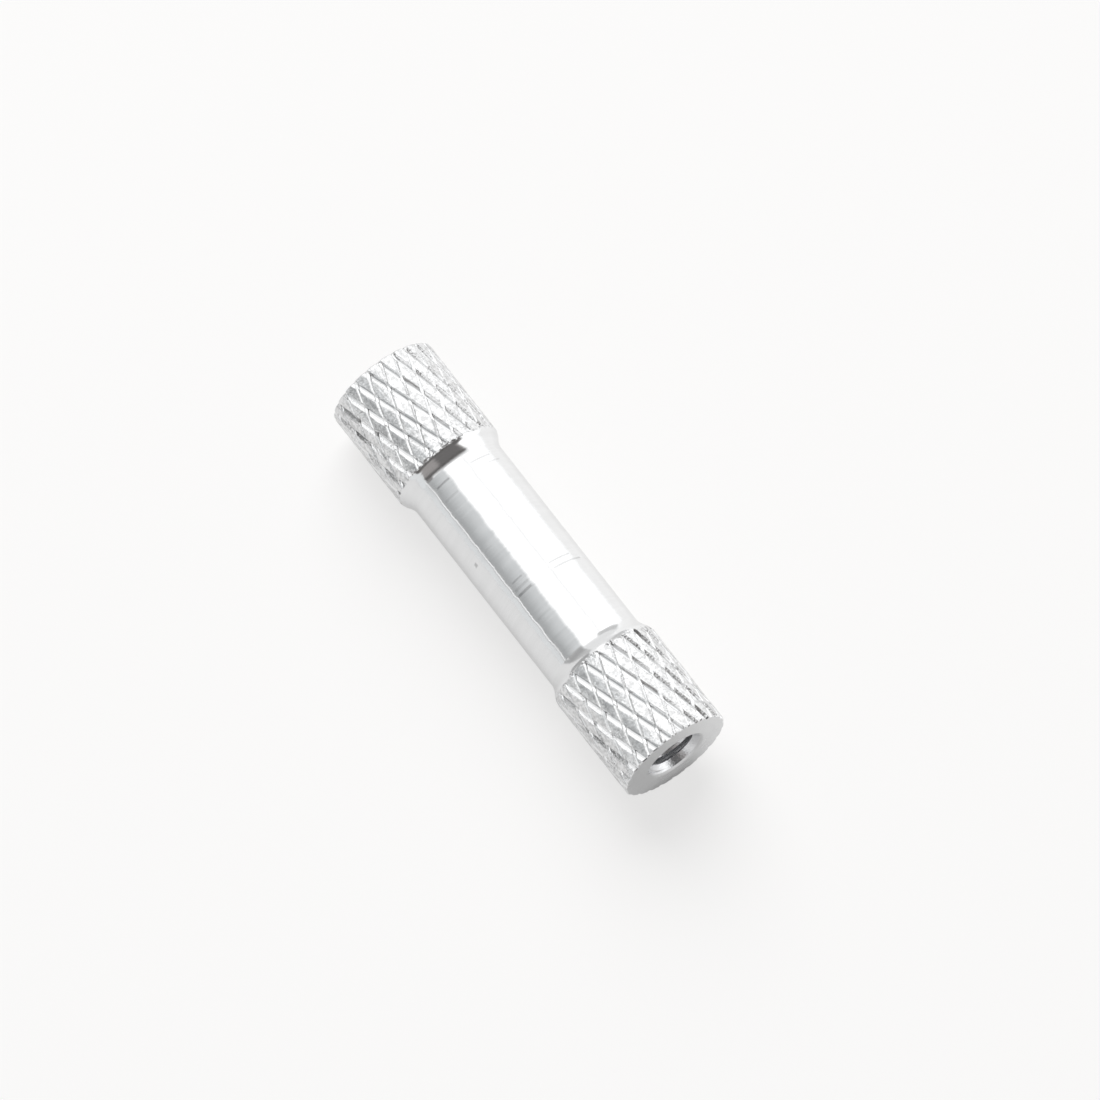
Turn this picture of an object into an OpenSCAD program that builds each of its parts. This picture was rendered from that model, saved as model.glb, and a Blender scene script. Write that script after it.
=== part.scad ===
// Round standoff, turned from one piece of aluminium bar.
// It stands on its lower end face, on the origin, with its axis along +Z.
// Both ends carry a diamond-knurled grip and a blind tapped hole, and the
// neck between the grips is turned down to a smaller diameter.
// All sizes are in millimetres and degrees.

/* [Body] */
// Length over both end faces
length = 25; // [22:0.5:60]
// Diameter over the flat tops of the knurl
knurl_d = 6.1; // [5.4:0.05:9]
// Width of the small chamfer round each end face
edge_break = 0.05; // [0.02:0.01:0.12]

/* [Knurled grips] */
// Length of the knurl on the lower grip
lower_grip = 5.65; // [3:0.05:7]
// Length of the knurl on the upper grip
upper_grip = 5.85; // [3:0.05:7]
// Number of grooves of each hand round the bar
knurl_grooves = 23; // [16:1:28]
// Angle between the grooves and the axis of the bar
knurl_helix = 18.25; // [12:0.25:30]
// Depth of the grooves below the flat tops
knurl_depth = 0.12; // [0.08:0.01:0.2]
// Angle between the two flanks of a groove
groove_angle = 90; // [70:1:100]
// Height above the lower end face of one crossing of the grooves
knurl_start = 0.145; // [0:0.005:2.5]
// Direction of that crossing, seen from above
knurl_turn = 273.6; // [0:0.1:360]

/* [Neck] */
// Depth of the neck below the flat tops of the knurl
neck_depth = 0.375; // [0.25:0.005:0.8]
// Depth of the plain land below the flat tops, where it leaves the knurl
land_depth = 0.03; // [0.02:0.005:0.05]
// Length of the plain land between the knurl and the shoulder
land_length = 0.25; // [0.1:0.01:0.6]
// Angle between the side of the land and the axis
land_taper = 7; // [2:0.5:10]
// Angle between the shoulder cone and the axis
shoulder_angle = 35; // [25:1:60]
// Radius in the corner between the shoulder and the neck
root_radius = 0.8; // [0.1:0.05:1.2]

/* [Tapped holes] */
// Tapping diameter of both holes
bore_d = 2.5; // [2:0.05:3]
// Depth of the full-diameter bore below each end face
bore_depth = 9; // [4:0.1:9.4]
// Angle between the sides of the cone that the drill leaves
drill_point = 118; // [100:1:140]
// Diameter of the countersink at each end face
countersink_d = 3.45; // [3.1:0.05:4.2]
// Angle between the sides of the countersink
countersink_angle = 120; // [82:1:130]

/* [Hidden] */
$fn = 96;

// A drill starts this far outside the face that it enters.
overcut = 0.5;
// The turned core stays this far inside the bottoms of the grooves.
core_cover = 0.12;

knurl_r = knurl_d / 2;
groove_root_r = knurl_r - knurl_depth;
core_r = groove_root_r - core_cover;

// Spacing of the grooves: round the bar, square to them, and along the axis.
groove_turn = 360 / knurl_grooves;
groove_arc = PI * knurl_d / knurl_grooves;
groove_pitch = groove_arc * cos(knurl_helix);
crossing_rise = groove_arc / tan(knurl_helix) / 2;
// Each diamond is a pyramid whose point is turned off at the knurl diameter.
pyramid_tip_r = groove_root_r + groove_pitch / 2 / tan(groove_angle / 2);

// The land tapers a little, and a cone leads from it down to the neck.
land_r = knurl_r - land_depth;
land_end_r = land_r - land_length * tan(land_taper);
neck_r = knurl_r - neck_depth;
cone_height = (land_end_r - neck_r) / tan(shoulder_angle);
shoulder_length = land_length + cone_height;

// The corner radius meets the neck and the cone this far from the corner,
// and takes no more than the length of the cone's side.
cone_side = (land_end_r - neck_r) / sin(shoulder_angle);
corner_reach = min(root_radius * tan(shoulder_angle / 2), cone_side);
corner_r = corner_reach / tan(shoulder_angle / 2);

bore_r = bore_d / 2;
countersink_r = countersink_d / 2;
countersink_depth = (countersink_r - bore_r) / tan(countersink_angle / 2);
drill_tip = bore_r / tan(drill_point / 2);

// A point of the bar by radius, direction and height.
function on_bar(r, a, z) = [r * cos(a), r * sin(a), z];

// Rows of groove crossings: every second row is turned by half a step.
function row_height(row) = knurl_start + row * crossing_rise;
function row_turn(row) = knurl_turn + (row % 2 == 0 ? 0 : groove_turn / 2);

// Bar with a pointed pyramid between each four crossings of the grooves,
// covering the heights z0 to z1 with a row or more to spare.
// Ring k holds the crossings of one row, and the pyramids centred on it.
module pyramid_bar(z0, z1) {
    n = knurl_grooves;
    row0 = floor((z0 - knurl_start) / crossing_rise) - 1;
    row1 = ceil((z1 - knurl_start) / crossing_rise) + 1;
    rings = row1 - row0 + 1;
    crossings = [
        for (row = [row0 : row1], i = [0 : n - 1])
            on_bar(groove_root_r, row_turn(row) + i * groove_turn, row_height(row))
    ];
    tips = [
        for (row = [row0 : row1], i = [0 : n - 1])
            on_bar(pyramid_tip_r, row_turn(row) + (i + 0.5) * groove_turn, row_height(row))
    ];
    function crossing(k, i) = k * n + i % n;
    function tip(k, i) = (rings + k) * n + i;
    // The crossing straight above or below tip i, in the next ring.
    function in_line(k, i) = (row0 + k) % 2 == 0 ? i : i + 1;
    flanks = [
        for (k = [1 : rings - 2], i = [0 : n - 1])
            let (
                left = crossing(k, i),
                right = crossing(k, i + 1),
                above = crossing(k + 1, in_line(k, i)),
                below = crossing(k - 1, in_line(k, i)),
                top = tip(k, i)
            )
            each [[above, right, top], [right, below, top], [below, left, top], [left, above, top]]
    ];
    // Plain triangles fill the zigzag at both ends, and flat caps close it.
    lower_fill = [
        for (i = [0 : n - 1])
            [crossing(0, i + 1), crossing(0, i), crossing(1, in_line(0, i))]
    ];
    upper_fill = [
        for (i = [0 : n - 1])
            [crossing(rings - 1, i), crossing(rings - 1, i + 1), crossing(rings - 2, in_line(rings - 1, i))]
    ];
    lower_cap = [for (i = [0 : n - 1]) crossing(0, i)];
    upper_cap = [for (i = [n - 1 : -1 : 0]) crossing(rings - 1, i)];
    polyhedron(
        points = concat(crossings, tips),
        faces = concat(flanks, lower_fill, upper_fill, [lower_cap, upper_cap]),
        convexity = 6
    );
}

// One grip, from its end face at height 0 up to the end of its knurl: the
// bar is turned to the knurl diameter and its end edge is broken.
module grip_envelope(grip) {
    rotate_extrude()
        polygon([
            [0, 0],
            [knurl_r - edge_break, 0],
            [knurl_r, edge_break],
            [knurl_r, grip],
            [0, grip]
        ]);
}

module lower_knurl() {
    intersection() {
        pyramid_bar(0, lower_grip);
        grip_envelope(lower_grip);
    }
}

module upper_knurl() {
    intersection() {
        pyramid_bar(length - upper_grip, length);
        translate([0, 0, length]) mirror([0, 0, 1]) grip_envelope(upper_grip);
    }
}

// Half section from the end of a knurl, at height 0, over the land and the
// shoulder and then along the neck for neck_part. It starts inside the grip,
// where the grooves run out up a cone of 45 degrees.
module shoulder_section(neck_part) {
    run_out = land_r - core_r;
    polygon([
        [0, -run_out],
        [core_r, -run_out],
        [land_r, 0],
        [land_end_r, land_length],
        [neck_r, shoulder_length],
        [neck_r, shoulder_length + neck_part],
        [0, shoulder_length + neck_part]
    ]);
    // The corner between the cone and the neck is filled to its radius.
    difference() {
        polygon([
            [neck_r - corner_reach, shoulder_length],
            [neck_r, shoulder_length + corner_reach],
            [
                neck_r + corner_reach * sin(shoulder_angle),
                shoulder_length - corner_reach * cos(shoulder_angle)
            ]
        ]);
        translate([neck_r + corner_r, shoulder_length + corner_reach]) circle(r = corner_r);
    }
}

// Neck and shoulders, in two halves that meet in the middle of the neck.
module turned_neck() {
    neck_part = (length - lower_grip - upper_grip) / 2 - shoulder_length;
    translate([0, 0, lower_grip])
        rotate_extrude() shoulder_section(neck_part);
    translate([0, 0, length - upper_grip]) mirror([0, 0, 1])
        rotate_extrude() shoulder_section(neck_part);
}

// Blind drilled hole that goes down from a countersunk mouth at height 0.
module tapping_hole() {
    translate([0, 0, -bore_depth])
        cylinder(h = bore_depth + overcut, r = bore_r);
    translate([0, 0, -bore_depth - drill_tip])
        cylinder(h = drill_tip, r1 = 0, r2 = bore_r);
    translate([0, 0, -countersink_depth])
        cylinder(h = countersink_depth, r1 = bore_r, r2 = countersink_r);
}

// The whole standoff, in one piece.
module standoff_body() {
    color("#c9cbcd")
        difference() {
            union() {
                lower_knurl();
                upper_knurl();
                turned_neck();
            }
            translate([0, 0, length]) tapping_hole();
            mirror([0, 0, 1]) tapping_hole();
        }
}

standoff_body();
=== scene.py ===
"""Looks of a round standoff, turned from one aluminium bar.

The bar has a diamond-knurled grip at each end, a slimmer neck between them, and a blind
tapped hole in each end face. The script makes it in the order a workshop would: the knurl
is pressed, the neck is turned, the ends are faced, and then both holes are drilled,
countersunk and tapped. The bench works in millimetres with the part's own axis up, and the
finished piece is brought to metres at the end.
"""

import logging
import math
from collections.abc import Callable, Iterator
from contextlib import contextmanager
from dataclasses import dataclass, field
from enum import Enum
from itertools import pairwise

import bmesh
import bpy
from mathutils import Matrix, Vector


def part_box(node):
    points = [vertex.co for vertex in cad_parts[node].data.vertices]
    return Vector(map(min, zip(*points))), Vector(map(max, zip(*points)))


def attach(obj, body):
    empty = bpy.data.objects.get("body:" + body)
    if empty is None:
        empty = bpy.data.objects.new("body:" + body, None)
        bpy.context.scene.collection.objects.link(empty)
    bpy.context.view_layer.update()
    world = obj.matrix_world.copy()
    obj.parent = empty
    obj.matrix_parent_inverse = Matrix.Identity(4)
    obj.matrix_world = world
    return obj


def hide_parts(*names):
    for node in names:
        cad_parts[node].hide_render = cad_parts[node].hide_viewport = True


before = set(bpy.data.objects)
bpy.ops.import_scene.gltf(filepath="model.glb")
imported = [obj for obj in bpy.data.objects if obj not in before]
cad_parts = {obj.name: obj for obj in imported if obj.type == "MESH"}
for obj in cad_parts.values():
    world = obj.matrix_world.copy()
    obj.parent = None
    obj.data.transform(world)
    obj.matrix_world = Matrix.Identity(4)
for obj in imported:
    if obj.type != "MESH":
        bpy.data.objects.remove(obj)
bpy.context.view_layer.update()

BODY_NODE = "standoff_body"
ROOT = "root"
MM = 0.001
TURN = 2 * math.pi
NEAR = 1e-3

log = logging.getLogger("standoff")


# ---------------------------------------------------------------- the bench


def clear_selection() -> None:
    """Leaves nothing selected, so that an operator acts only on what is picked next."""
    if bpy.context.mode != "OBJECT":
        bpy.ops.object.mode_set(mode="OBJECT")
    bpy.ops.object.select_all(action="DESELECT")


class Workpiece:
    """A mesh on the bench, in millimetres, with the tools that shape it."""

    def __init__(self, name: str) -> None:
        """Takes up the object that was just added.

        Args:
            name: What the object is called from now on.
        """
        self.body: bpy.types.Object = bpy.context.active_object
        self.body.name = name
        self.body.data.name = name

    @classmethod
    def traced(cls, name: str, outline: list[tuple[float, float]]) -> "Workpiece":
        """Draws a line through an outline, from one point pulled along it.

        Args:
            name: The new object's name.
            outline: Radius and height of each corner.

        Returns:
            The line, as a workpiece that can be spun or screwed.
        """
        clear_selection()
        bpy.ops.mesh.primitive_plane_add(size=1.0)
        piece = cls(name)
        corners = [Vector((radius, 0.0, height)) for radius, height in outline]
        with piece.opened():
            bpy.ops.mesh.select_mode(type="VERT")
            bpy.ops.mesh.select_all(action="SELECT")
            bpy.ops.mesh.merge(type="CENTER")
            bpy.ops.transform.translate(value=corners[0])
            for start, end in pairwise(corners):
                bpy.ops.mesh.extrude_region_move(TRANSFORM_OT_translate={"value": end - start})
        return piece

    def take_up(self) -> None:
        """Makes this piece the only one that an operator acts on."""
        clear_selection()
        self.body.select_set(True)
        bpy.context.view_layer.objects.active = self.body

    @contextmanager
    def opened(self, whole: bool = False) -> Iterator[None]:
        """Puts this piece alone in edit mode, and closes it again afterwards.

        Args:
            whole: True to start with all of it selected.
        """
        self.take_up()
        bpy.ops.object.mode_set(mode="EDIT")
        if whole:
            bpy.ops.mesh.select_all(action="SELECT")
        yield
        bpy.ops.object.mode_set(mode="OBJECT")

    def _pick(self, kind: str, chosen: Callable[[bmesh.types.BMesh], Iterator]) -> None:
        """Selects the elements that chosen gives, in the select mode of their kind."""
        bpy.ops.mesh.select_mode(type=kind)
        bpy.ops.mesh.select_all(action="DESELECT")
        mesh = bmesh.from_edit_mesh(self.body.data)
        for element in chosen(mesh):
            element.select_set(True)
        mesh.select_flush_mode()
        bmesh.update_edit_mesh(self.body.data)

    def pick_points(self, test: Callable[[bmesh.types.BMVert], bool]) -> None:
        """Selects the points that pass the test."""
        self._pick("VERT", lambda mesh: (point for point in mesh.verts if test(point)))

    def pick_edges(self, test: Callable[[bmesh.types.BMEdge], bool]) -> None:
        """Selects the edges that pass the test."""
        self._pick("EDGE", lambda mesh: (edge for edge in mesh.edges if test(edge)))

    def pick_faces(self, test: Callable[[bmesh.types.BMFace], bool]) -> None:
        """Selects the faces that pass the test."""
        self._pick("FACE", lambda mesh: (face for face in mesh.faces if test(face)))

    def cut(
        self, at: tuple[float, float, float], facing: tuple[float, float, float], drop: bool
    ) -> None:
        """Cuts along a plane.

        Args:
            at: A point of the plane.
            facing: The way the plane faces.
            drop: True to take away what lies on the side it faces.
        """
        bpy.ops.mesh.select_all(action="SELECT")
        bpy.ops.mesh.bisect(plane_co=at, plane_no=facing, clear_outer=drop, threshold=NEAR / 10)

    def merge_doubles(self) -> None:
        """Welds points that share a place, and turns all faces outwards."""
        with self.opened(whole=True):
            bpy.ops.mesh.remove_doubles(threshold=NEAR)
            bpy.ops.mesh.normals_make_consistent(inside=False)

    def drop_slivers(self) -> None:
        """Takes out the faces and edges that a cut left with no size."""
        with self.opened(whole=True):
            bpy.ops.mesh.dissolve_degenerate(threshold=NEAR / 2)

    def finish_modifier(self, kind: str, **settings: object) -> None:
        """Adds a modifier with these settings and applies it."""
        self.take_up()
        modifier = self.body.modifiers.new(kind.lower(), kind)
        for name, value in settings.items():
            setattr(modifier, name, value)
        bpy.ops.object.modifier_apply(modifier=modifier.name)

    def settle(self) -> None:
        """Puts the object's own place, turn and scale into its mesh."""
        self.take_up()
        bpy.ops.object.transform_apply(location=True, rotation=True, scale=True)

    def spin_closed(self, steps: int) -> None:
        """Spins a traced line once round the bar's axis."""
        with self.opened(whole=True):
            bpy.ops.mesh.spin(steps=steps, angle=TURN, center=(0, 0, 0), axis=(0, 0, 1))
        self.merge_doubles()

    def wear(self, *materials: bpy.types.Material) -> None:
        """Gives the piece these materials; its faces start with the first."""
        for material in materials:
            self.body.data.materials.append(material)

    def paint_picked(self, index: int) -> None:
        """Gives the picked faces the material at that place in the piece's list."""
        self.body.active_material_index = index
        bpy.ops.object.material_slot_assign()

    def subtract(self, cutter: "Workpiece") -> None:
        """Takes a cutter's shape out of the piece and throws the cutter away."""
        self.finish_modifier(
            "BOOLEAN",
            operation="DIFFERENCE",
            solver="EXACT",
            material_mode="TRANSFER",
            object=cutter.body,
        )
        bpy.data.objects.remove(cutter.body)


# ---------------------------------------------------------------- node wiring

NUMBER_SOCKET = "NodeSocketFloat"
VECTOR_SOCKET = "NodeSocketVector"


class Value:
    """What a shader node gives out, which takes part in plain arithmetic."""

    def __init__(self, wiring: "Wiring", socket: bpy.types.NodeSocket) -> None:
        """Takes up a node's output.

        Args:
            wiring: Where the nodes of the arithmetic go.
            socket: The output.
        """
        self.wiring = wiring
        self.socket = socket

    def __add__(self, other: "Value | float") -> "Value":
        """Adds the other."""
        return self.wiring.math("ADD", self, other)

    def __sub__(self, other: "Value | float") -> "Value":
        """Takes the other away."""
        return self.wiring.math("SUBTRACT", self, other)

    def __rsub__(self, other: float) -> "Value":
        """Takes this from the other."""
        return self.wiring.math("SUBTRACT", other, self)

    def __mul__(self, other: "Value | float") -> "Value":
        """Multiplies by the other."""
        return self.wiring.math("MULTIPLY", self, other)

    def __truediv__(self, other: "Value | float") -> "Value":
        """Divides by the other."""
        return self.wiring.math("DIVIDE", self, other)

    def __abs__(self) -> "Value":
        """Drops the sign."""
        return self.wiring.math("ABSOLUTE", self)


class Wiring:
    """Builds a shader tree: adds nodes by type and joins them by socket name."""

    def __init__(self, tree: bpy.types.NodeTree) -> None:
        """Starts on a tree.

        Args:
            tree: A material's, world's or group's node tree, which is emptied.
        """
        self.tree = tree
        self.tree.nodes.clear()

    def node(
        self, kind: str, inputs: dict[str | int, object] | None = None, **settings: object
    ) -> dict[str | int, Value]:
        """Adds a node.

        Args:
            kind: The node type without its ShaderNode prefix.
            inputs: What feeds each input: another node's output, or a plain value.
            **settings: The node's own properties.

        Returns:
            Its outputs, by place and by name.
        """
        made = self.tree.nodes.new(kind if kind.startswith("NodeGroup") else "ShaderNode" + kind)
        for name, value in settings.items():
            setattr(made, name, value)
        for name, value in (inputs or {}).items():
            if isinstance(value, Value):
                self.tree.links.new(value.socket, made.inputs[name])
            else:
                made.inputs[name].default_value = value
        outputs: dict[str | int, Value] = {}
        for place, socket in enumerate(made.outputs):
            outputs[place] = Value(self, socket)
            outputs.setdefault(socket.name, outputs[place])
        return outputs

    def group(self, tree: bpy.types.NodeTree, **inputs: object) -> dict[str | int, Value]:
        """Adds a node group, feeds its inputs and gives its outputs."""
        return self.node("Group", inputs, node_tree=tree)

    def math(self, operation: str, *values: Value | float, clamp: bool = False) -> Value:
        """Adds a Math node."""
        return self.node("Math", dict(enumerate(values)), operation=operation, use_clamp=clamp)[0]

    def ramp(
        self, value: Value, start: float, end: float, low: float = 0.0, high: float = 1.0
    ) -> Value:
        """Gives low where value is at start, high where it is at end, and an eased blend between."""
        inputs = {"Value": value, "From Min": start, "From Max": end, "To Min": low, "To Max": high}
        return self.node("MapRange", inputs, interpolation_type="SMOOTHSTEP")["Result"]

    def noise(
        self, place: Value, scale: Value | float, detail: float, roughness: float = 0.5
    ) -> Value:
        """Gives soft noise round 0.5."""
        inputs = {"Vector": place, "Scale": scale, "Detail": detail, "Roughness": roughness}
        return self.node("TexNoise", inputs)[0]

    def split(self, place: Value) -> tuple[Value, Value, Value]:
        """Gives X, Y and Z of a place."""
        parts = self.node("SeparateXYZ", {0: place})
        return parts[0], parts[1], parts[2]

    def reach(self, x: Value, y: Value) -> Value:
        """Gives the distance from the bar's axis."""
        return self.math("SQRT", x * x + y * y)

    def vector(self, operation: str, *values: object) -> Value:
        """Adds a Vector Math node."""
        return self.node("VectorMath", dict(enumerate(values)), operation=operation)[0]

    def scaled(self, values: object, factor: Value) -> Value:
        """Gives a vector or colour times a factor."""
        return self.node("VectorMath", {0: values, "Scale": factor}, operation="SCALE")[0]

    def mix(self, share: Value, first: object, second: object, colours: bool = True) -> Value:
        """Gives a mix of two colours, or of two numbers."""
        kind, at, result = ("RGBA", 6, 2) if colours else ("FLOAT", 2, 0)
        return self.node("Mix", {0: share, at: first, at + 1: second}, data_type=kind)[result]

    def give(self, **outputs: Value) -> bpy.types.NodeTree:
        """Adds a group's outputs, and gives the finished group."""
        for name, value in outputs.items():
            kind = VECTOR_SOCKET if value.socket.type == "VECTOR" else NUMBER_SOCKET
            self.tree.interface.new_socket(name, in_out="OUTPUT", socket_type=kind)
        self.node("NodeGroupOutput", outputs)
        return self.tree


def new_group(name: str, **inputs: float | None) -> tuple[Wiring, dict[str | int, Value]]:
    """Starts a shader node group with named inputs.

    Args:
        name: The group's name.
        **inputs: The default of each input that is a number, or None for a vector.

    Returns:
        The wiring, and what the inputs give.
    """
    wiring = Wiring(bpy.data.node_groups.new(name, "ShaderNodeTree"))
    for label, default in inputs.items():
        kind = VECTOR_SOCKET if default is None else NUMBER_SOCKET
        socket = wiring.tree.interface.new_socket(label, in_out="INPUT", socket_type=kind)
        if default is not None:
            socket.default_value = default
    return wiring, wiring.node("NodeGroupInput")


# ---------------------------------------------------------------- finishes


class Toolpath(Enum):
    """Which way a cutting tool ran over a surface."""

    ROUND_THE_BAR = "lathe passes round the bar"
    ACROSS_THE_END = "facing passes across an end"


@dataclass(frozen=True)
class ScoreMark:
    """A fine line that a chip dragged part of the way round the bar.

    Attributes:
        height: Height above the lower end face, in millimetres.
        start: Direction where it starts, in degrees round the axis from +X.
        end: Direction where it ends.
        width: Its width, in millimetres.
        weight: How dark it is, from 0 to 1.
    """

    height: float
    start: float
    end: float
    width: float
    weight: float


@dataclass(frozen=True)
class AluminiumFinish:
    """One way the bare aluminium was left.

    Attributes:
        name: The material's name.
        colour: Base colour of the metal, linear.
        roughness: Middle of its roughness.
        mark_spacing: Distance between tool marks, in millimetres.
        mark_depth: Height of the tool marks, in millimetres.
        grain_size: Size of the fine pitting, in millimetres.
        grain_depth: Height of the fine pitting, in millimetres.
        roughness_swing: How far the tool marks and the handling change the roughness.
        toolpath: Which way the tool marks run.
        mark_tone: How much the tool marks darken the metal.
        brushed: How much further the marks blur a reflection along the bar than round it.
        wander: How far, as a slope, a tool mark leans to either side.
        crests: Radius over crests that no tool touched, in millimetres, or 0 without any.
        crest_darkening: How much the crests are darkened, evenly and in blotches.
        root_shade: How much painted shade darkens the roots between crests.
        crest_roughness: How much rougher the crests are.
        pressed_grain: How much of the pitting is left off the crests.
        scores: Single lines dragged round the bar.
        score_roughness: How much rougher those lines are.
    """

    name: str
    colour: tuple[float, float, float]
    roughness: float
    mark_spacing: float
    mark_depth: float
    grain_size: float
    grain_depth: float
    roughness_swing: float = 0.04
    toolpath: Toolpath = Toolpath.ROUND_THE_BAR
    mark_tone: float = 0.04
    brushed: float = 0.0
    wander: float = 0.0
    crests: float = 0.0
    crest_darkening: tuple[float, float] = (0.0, 0.0)
    root_shade: float = 0.0
    crest_roughness: float = 0.0
    pressed_grain: float = 0.45
    scores: tuple[ScoreMark, ...] = ()
    score_roughness: float = 0.3

    def material(self, effects: "Effects") -> bpy.types.Material:
        """Builds the material.

        Args:
            effects: The node groups that the finishes share.

        Returns:
            The finished material.
        """
        made = bpy.data.materials.new(self.name)
        made.use_nodes = True
        wiring = Wiring(made.node_tree)
        place = wiring.node("TexCoord")["Object"]
        facing = 1.0 if self.toolpath is Toolpath.ACROSS_THE_END else 0.0
        marks = wiring.group(
            effects.tool_marks, Place=place, Spacing=self.mark_spacing, Facing=facing
        )
        grain = wiring.group(effects.grain, Place=place, Size=self.grain_size)
        score = self._scored(wiring, effects, place)
        tone = (marks["Tone"] * self.mark_tone + (1.0 - self.mark_tone)) * (1.0 - score)
        roughness = (marks["Tone"] + grain["Smudge"]) * self.roughness_swing
        roughness = roughness + (self.roughness - self.roughness_swing)
        depth: Value | float = self.grain_depth * MM
        if self.crests:
            crest_and_shade_masks = wiring.group(effects.crest, Place=place, Radius=self.crests)
            even, blotched = self.crest_darkening
            # the crests are darkened evenly and in blotches
            crest_blotching = (crest_and_shade_masks["Blotch"] * blotched + even) * crest_and_shade_masks["Crest"]
            # painted shade darkens the roots between the crests, where shade falls in the grooves
            tone = tone * (1.0 - (crest_and_shade_masks["Root"] * self.root_shade + crest_blotching))
            depth = wiring.ramp(crest_and_shade_masks["Crest"], 0.0, 1.0, self.pressed_grain, 1.0) * depth
            roughness = roughness + crest_and_shade_masks["Crest"] * self.crest_roughness
        relief = grain["Height"] * depth + marks["Height"] * (self.mark_depth * MM)
        normal = wiring.node("NewGeometry")["Normal"]
        if self.wander:
            leant = wiring.group(effects.wander, Place=place, Normal=normal, Slope=self.wander)
            normal = leant["Normal"]
        raised = {"Height": relief, "Strength": 1.0, "Distance": 1.0, "Normal": normal}
        shader = wiring.node(
            "BsdfPrincipled",
            {
                "Base Color": wiring.scaled(self.colour, tone),
                "Roughness": roughness + score * self.score_roughness,
                "Normal": wiring.node("Bump", raised)[0],
                "Metallic": 1.0,
                "Anisotropic": self.brushed,
                "Anisotropic Rotation": 0.25,
            },
        )
        wiring.node("OutputMaterial", {"Surface": shader[0]})
        return made

    def _scored(self, wiring: Wiring, effects: "Effects", place: Value) -> Value | float:
        """Adds the score marks up.

        Args:
            wiring: The material's wiring.
            effects: The node groups that the finishes share.
            place: Where on the bar.

        Returns:
            How much a score mark darkens each place, from 0 to 1.
        """
        total: Value | float = 0.0
        for mark in self.scores:
            line = wiring.group(
                effects.score_mark,
                Place=place,
                Height=mark.height,
                Width=mark.width,
                Start=mark.start,
                End=mark.end,
            )
            total = line["Mask"] * mark.weight + total
        return total


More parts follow.
